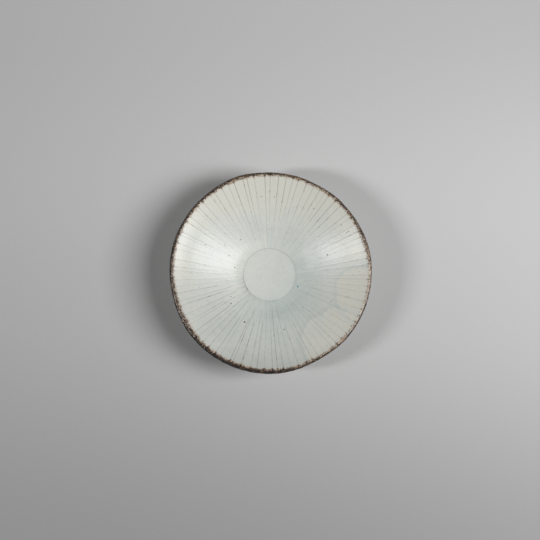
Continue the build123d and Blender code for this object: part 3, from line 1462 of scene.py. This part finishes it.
@dataclass
class RecessGlaze(DishPiece):
    """Thin coat inside the foot ring."""

    name: ClassVar[str] = "recess_glaze"
    node: ClassVar[str] = "foot_well_glaze"
    slot: ClassVar[str] = "pale_glaze"
    material: ClassVar[str] = "satin_pale_glaze_recess"

    columns: int = 180
    rings: int = 24
    clay_chords: int = 8
    edge_round: float = 0.3
    edge_height: float = 0.6
    edge_iron: float = 0.3
    edge_iron_reach: float = 0.9
    wave: RimWander = RimWander(size=0.35, features=16, layer=9.0)
    wave_power: int = 4

    def build(self) -> Mesh:
        """Spins a lens-like coat and waves its edge.

        Returns:
            The mesh.
        """
        s = self.section
        edge_r = s.foot_radius - s.foot_wall - s.foot_flare - s.recess_margin
        edge = asin(edge_r / s.base_curve)
        round_turn = self.edge_round / s.base_curve
        profile = s.arc(s.base_z, s.base_curve, 0, edge, self.clay_chords)
        profile.append(s.on_arc(s.base_z, s.base_curve + self.edge_height * s.coat, edge))
        profile += s.arc(s.base_z, s.base_curve + s.coat, edge - round_turn, 0, self.rings)
        bm = spun(profile, self.columns)
        iron = bm.verts.layers.float.new("iron")
        for vert in bm.verts:
            x, y, z = vert.co
            r = hypot(x, y)
            wave = self.wave.at(degrees(atan2(y, x))) * (r / edge_r) ** self.wave_power
            out = 1 + wave / edge_r
            vert.co = (x * out, y * out, z)
            vert[iron] = self.edge_iron * ease(edge_r - self.edge_iron_reach, edge_r, r)
        return bm


@dataclass
class TurnedFoot(DishPiece):
    """Foot ring, turned with a loop tool and left bare."""

    name: ClassVar[str] = "turned_foot"
    node: ClassVar[str] = "foot_ring"
    slot: ClassVar[str] = "stoneware"
    material: ClassVar[str] = "bare_stoneware_foot"
    finish: ClassVar[PaleGlaze | BareStoneware] = BareStoneware()
    sharp: ClassVar[float] = 35.0

    columns: int = 240
    bevel_chords: int = 4
    wall_chords: int = 14
    joint_chords: int = 6
    tool_rise: float = 0.05
    tool_pitch: float = 1.1
    tool_waver_length: float = 9.0
    tool_layer: float = 1.0
    grit: float = 2.5
    grit_share: float = 0.6

    def profile(self) -> list[Point]:
        """Closed section with its lower edges rounded.

        Returns:
            Pairs of distance from the axis and height.
        """
        s = self.section
        inner = s.foot_radius - s.foot_wall
        outer = s.foot_radius
        bevel = s.foot_bevel
        turns = evenly(0.0, pi / 2, self.bevel_chords)
        points = [(inner + bevel * (1 - cos(turn)), bevel * (1 - sin(turn))) for turn in turns]
        points.append(((inner + outer) / 2, 0.0))
        points += [(outer - bevel * (1 - sin(turn)), bevel * (1 - cos(turn))) for turn in turns]
        outer_joint = asin((outer + s.foot_flare) / s.base_curve)
        inner_joint = asin((inner - s.foot_flare) / s.base_curve)
        top = s.arc(s.base_z, s.base_curve, outer_joint, inner_joint, self.joint_chords)
        points += self.wall(points[-1], top[0]) + top
        return points + self.wall(top[-1], points[0])

    def wall(self, start: Point, end: Point) -> list[Point]:
        """Points between the two ends of a straight side, without the ends."""
        across, up = (evenly(first, last, self.wall_chords) for first, last in zip(start, end))
        return list(zip(across, up))[1:-1]

    def build(self) -> Mesh:
        """Spins the section and leaves tool marks on its sides.

        Returns:
            The mesh.
        """
        s = self.section
        bm = spun(self.profile(), self.columns, closed=True)
        middle = s.foot_radius - s.foot_wall / 2
        for vert in bm.verts:
            x, y, z = vert.co
            r = hypot(x, y)
            length = self.tool_waver_length
            waver = drift(x / length, y / length, self.tool_layer)
            marks = sin(tau * z / self.tool_pitch + waver)
            marks += self.grit_share * drift(x / self.grit, y / self.grit, z / self.grit)
            rise = self.tool_rise * marks * ease(s.foot_bevel, 2 * s.foot_bevel, z)
            out = 1 + (rise if r > middle else -rise) / r
            vert.co = (x * out, y * out, z)
        return bm


@dataclass
class ThrownBowl(DishPiece):
    """The clay bowl, which shows only beside the foot."""

    name: ClassVar[str] = "thrown_bowl"
    node: ClassVar[str] = "clay_body"
    slot: ClassVar[str] = "stoneware"
    material: ClassVar[str] = "bare_stoneware_bowl"
    finish: ClassVar[PaleGlaze | BareStoneware] = BareStoneware()

    columns: int = 240
    disc_chords: int = 4
    well_chords: int = 18
    lip_chords: int = 8
    base_chords: int = 48

    def build(self) -> Mesh:
        """Spins the bowl's section.

        Returns:
            The mesh.
        """
        s = self.section
        disc_end = asin(s.clay_disc / s.clay_disc_curve)
        well_start = asin(s.clay_disc / s.well_curve)
        profile = s.arc(s.well_z, s.clay_disc_curve, 0, disc_end, self.disc_chords)
        profile += s.arc(s.well_z, s.well_curve, well_start, s.well_end, self.well_chords)
        profile += s.lip_arc(s.lip_radius, self.lip_chords)[1:-1]
        profile += s.arc(s.base_z, s.base_curve, s.base_end, 0, self.base_chords)
        return spun(profile, self.columns)


@dataclass(frozen=True)
class FleckPlace:
    """A fleck in the well's glaze: its place across and up from the axis, and its half width."""

    across: float
    up: float
    size: float
    kind: Fleck = Fleck.IRON


@dataclass
class GlazeFlecks:
    """Dots of metal that have melted in the well's glaze."""

    section: DishSection
    hand: HandShape
    places: tuple[FleckPlace, ...] = (
        FleckPlace(21.9, 32.2, 0.34),
        FleckPlace(2.2, 38.2, 0.3),
        FleckPlace(-4.2, 38.2, 0.28),
        FleckPlace(38.8, 20.7, 0.3),
        FleckPlace(38.0, 19.9, 0.3),
        FleckPlace(35.4, 23.8, 0.28),
        FleckPlace(28.8, 9.6, 0.36),
        FleckPlace(-14.4, 17.4, 0.32),
        FleckPlace(-31.9, 14.3, 0.28),
        FleckPlace(-22.4, 14.5, 0.26),
        FleckPlace(-20.1, 9.4, 0.26),
        FleckPlace(-17.4, 3.5, 0.34),
        FleckPlace(-19.2, -14.6, 0.4),
        FleckPlace(-19.2, -11.2, 0.26),
        FleckPlace(-12.4, -24.0, 0.52),
        FleckPlace(7.3, -27.7, 0.36),
        FleckPlace(30.4, -13.8, 0.32),
        FleckPlace(16.6, -16.4, 0.22),
        FleckPlace(14.2, -5.9, 0.5, Fleck.COBALT),
    )
    oval: float = 0.8
    flat: float = 0.16
    stains: tuple[tuple[Fleck, FleckStain], ...] = (
        (Fleck.IRON, FleckStain(heart="#2C2620", edge="#5F5A50")),
        (Fleck.COBALT, FleckStain(heart="#2E7488", edge="#6C9AA2")),
    )

    def build(self, kind: Fleck) -> Mesh:
        """Sets a low dome into the glaze at each place of one kind.

        Args:
            kind: What the flecks are.

        Returns:
            The mesh.
        """
        s = self.section
        bm = bmesh.new()
        for spot in self.places:
            if spot.kind is not kind:
                continue
            z = s.well(hypot(spot.across, spot.up))
            normal = Vector((-spot.across, -spot.up, s.well_z - z))
            tilt = normal.to_track_quat("Z", "Y").to_matrix().to_4x4()
            size = spot.size * Vector((1.0, self.oval, self.flat))
            lay = Matrix.Translation((spot.across, spot.up, z)) @ tilt @ Matrix.Diagonal((*size, 1.0))
            bmesh.ops.create_icosphere(bm, subdivisions=2, radius=1.0, matrix=lay)
        return bm

    def make(self) -> None:
        """Makes one piece of each kind of fleck."""
        for kind, stain in self.stains:
            bm = self.build(kind)
            self.hand.shape(bm)
            name = f"{kind.value}_flecks"
            piece = placed(name, bm, stain.material(f"melted_{name}"), sharp=180.0)
            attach(piece, BODY)


def facing(back: Vector, place: Vector) -> Matrix:
    """Where to hang a lamp or a camera so that it looks away from a direction.

    Args:
        back: Direction that its back faces.
        place: Where it hangs, in metres.

    Returns:
        Its place and turn, with its top towards the back of the table.
    """
    right = Vector((0.0, 1.0, 0.0)).cross(back).normalized()
    axes = Matrix((right, back.cross(right), back)).transposed()
    return Matrix.Translation(place) @ axes.to_4x4()


@dataclass(frozen=True)
class Softbox:
    """A studio softbox: direction to it, distance and size in metres, and its share of the light."""

    name: str
    towards: tuple[float, float, float]
    distance: float
    size: Point
    share: float

    def make(self) -> None:
        """Hangs the softbox so that it lights a flat sheet under the dish by its share."""
        direction = Vector(self.towards).normalized()
        lamp = bpy.data.lights.new(self.name, "AREA")
        lamp.shape = "RECTANGLE"
        lamp.size, lamp.size_y = self.size
        # White paper looks white where the shares of all the lamps add up to 1.
        lamp.energy = self.share * pi**2 * self.distance**2 / direction.z
        hung = bpy.data.objects.new(self.name, lamp)
        hung.matrix_world = facing(direction, direction * self.distance)
        bpy.context.scene.collection.objects.link(hung)


@dataclass(frozen=True)
class StudioPaper:
    """Matt studio paper, which darkens towards the front left, and a little to the front and back.

    The darkening is painted falloff of the lamps' light. The sheet's size is in metres, and how far its
    shades reach is in millimetres.
    """

    size: float = 8.0
    near: str = "#A5A5A5"
    far: str = "#D1D1D1"
    fade: float = 180.0
    angle: float = 60.0
    ends: str = "#E9E9E9"
    ends_fade: Point = (20.0, 150.0)
    fibre: float = 0.8333
    fibre_amount: float = 0.08
    roughness: float = 0.9

    def material(self, name: str) -> Material:
        """Material of the paper.

        Args:
            name: Name of the material.

        Returns:
            The material.
        """
        material, tree, place, shader = new_material(name)
        # The grade towards the back right and the darker front and back are painted falloff of the lamps'
        # light.
        direction = (cos(radians(self.angle)), sin(radians(self.angle)), 0.0)
        towards = {"operation": "DOT_PRODUCT", 1: direction}
        along = add_node(tree, "VectorMath", towards, {0: place}).outputs["Value"]
        reach = {"From Min": -self.fade, "From Max": self.fade}
        painted_falloff = add_node(tree, "MapRange", {**SOFT, **reach}, {"Value": along})
        painted_falloff_colour = add_node(tree, "MixRGB", {1: linear(self.near), 2: linear(self.far)}, {0: painted_falloff})
        up = add_node(tree, "SeparateXYZ", {}, {0: place}).outputs["Y"]
        off = add_node(tree, "Math", {"operation": "ABSOLUTE"}, {0: up})
        start, whole = self.ends_fade
        reach = {"From Min": start, "From Max": whole}
        outer = add_node(tree, "MapRange", {**SOFT, **reach}, {"Value": off})
        darker = {"blend_type": "MULTIPLY", 2: linear(self.ends)}
        ended = add_node(tree, "MixRGB", darker, {0: outer, 1: painted_falloff_colour})
        fibre = add_node(tree, "TexNoise", {"Scale": 1 / self.fibre, "Detail": 2.0}, {"Vector": place})
        tinting = {"blend_type": "SOFT_LIGHT", 0: self.fibre_amount}
        tint = add_node(tree, "MixRGB", tinting, {1: ended, 2: fibre})
        tree.links.new(tint.outputs[0], shader.inputs["Base Color"])
        shader.inputs["Roughness"].default_value = self.roughness
        shader.inputs["Specular IOR Level"].default_value = 0.0
        return material

    def lay(self) -> None:
        """Lays a large sheet under the dish."""
        bm = bmesh.new()
        bmesh.ops.create_grid(bm, x_segments=1, y_segments=1, size=self.size / 2)
        mesh = bpy.data.meshes.new("paper")
        bm.to_mesh(mesh)
        bm.free()
        mesh.materials.append(self.material("studio_paper_painted_falloff"))
        paper = bpy.data.objects.new("paper", mesh)
        bpy.context.scene.collection.objects.link(paper)


@dataclass
class Studio:
    """Pale paper with painted light falloff, two softboxes and a camera, in metres, that looks almost
    straight down.
    """

    section: DishSection
    paper: StudioPaper = StudioPaper()
    ambient: float = 0.005
    backdrop: float = 0.55
    lamps: tuple[Softbox, ...] = (
        Softbox("key_softbox", (0.6, -0.085, 0.795), 1.5, (0.92, 0.5), 0.715),
        Softbox("fill_softbox", (-0.65, -0.15, 0.743), 1.5, (0.43, 0.15), 0.275),
    )
    camera_lean: Point = (-0.0385, -0.1)
    camera_distance: float = 0.9
    frame_pixels: float = 540.0
    rim_pixels: float = 101.25
    rim_place: Point = (270.25, 272.35)
    sensor: float = 36.0

    def make(self) -> None:
        """Sets up the paper, the lamps, the room and the camera."""
        self.paper.lay()
        for lamp in self.lamps:
            lamp.make()
        self.light_room()
        self.aim_camera()

    def light_room(self) -> None:
        """Gives the room a little light, and a pale wall for the eye and for reflections."""
        world = bpy.data.worlds.new("room")
        world.use_nodes = True
        tree = world.node_tree
        tree.nodes.clear()
        path = add_node(tree, "LightPath")
        seen = path.outputs["Is Camera Ray"]
        for ray in ("Is Glossy Ray", "Is Transmission Ray"):
            seen = add_node(tree, "Math", {"operation": "MAXIMUM"}, {0: seen, 1: path.outputs[ray]})
        levels = {"To Min": self.ambient, "To Max": self.backdrop}
        strength = add_node(tree, "MapRange", levels, {"Value": seen})
        light = add_node(tree, "Background", {"Color": linear("#FFFFFF")}, {"Strength": strength})
        add_node(tree, "OutputWorld", {}, {"Surface": light})
        bpy.context.scene.world = world

    def aim_camera(self) -> None:
        """Places the camera so that the rim falls where the photograph has it."""
        camera = bpy.data.cameras.new("camera")
        camera.sensor_fit = "HORIZONTAL"
        camera.sensor_width = self.sensor
        pixel = self.section.rim_radius * MM / self.rim_pixels
        camera.lens = self.sensor * self.camera_distance / (self.frame_pixels * pixel)
        back = Vector((*self.camera_lean, 1.0)).normalized()
        seat = bpy.data.objects.new("camera", camera)
        turned = facing(back, Vector()).to_3x3()
        middle = self.frame_pixels / 2
        aside = Vector((middle - self.rim_place[0], self.rim_place[1] - middle, 0.0)) * pixel
        aim = Vector((0.0, 0.0, self.section.lip_z * MM)) + turned @ aside
        seat.matrix_world = facing(back, aim + back * self.camera_distance)
        bpy.context.scene.collection.objects.link(seat)
        bpy.context.scene.camera = seat


def main() -> None:
    """Builds the dish piece by piece, then the studio round it."""
    logging.basicConfig(level=logging.INFO, format="%(asctime)s %(message)s")
    section = DishSection()
    hand = HandShape()
    kinds = (
        ThrownBowl,
        TurnedFoot,
        GlazedWell,
        OutsideGlaze,
        RecessGlaze,
        LipIron,
        CentreRing,
        IronLines,
    )
    for kind in kinds:
        kind(section, hand).make()
    GlazeFlecks(section, hand).make()
    Studio(section).make()
    bpy.context.scene.view_settings.view_transform = "Standard"


if __name__ == "__main__":
    main()
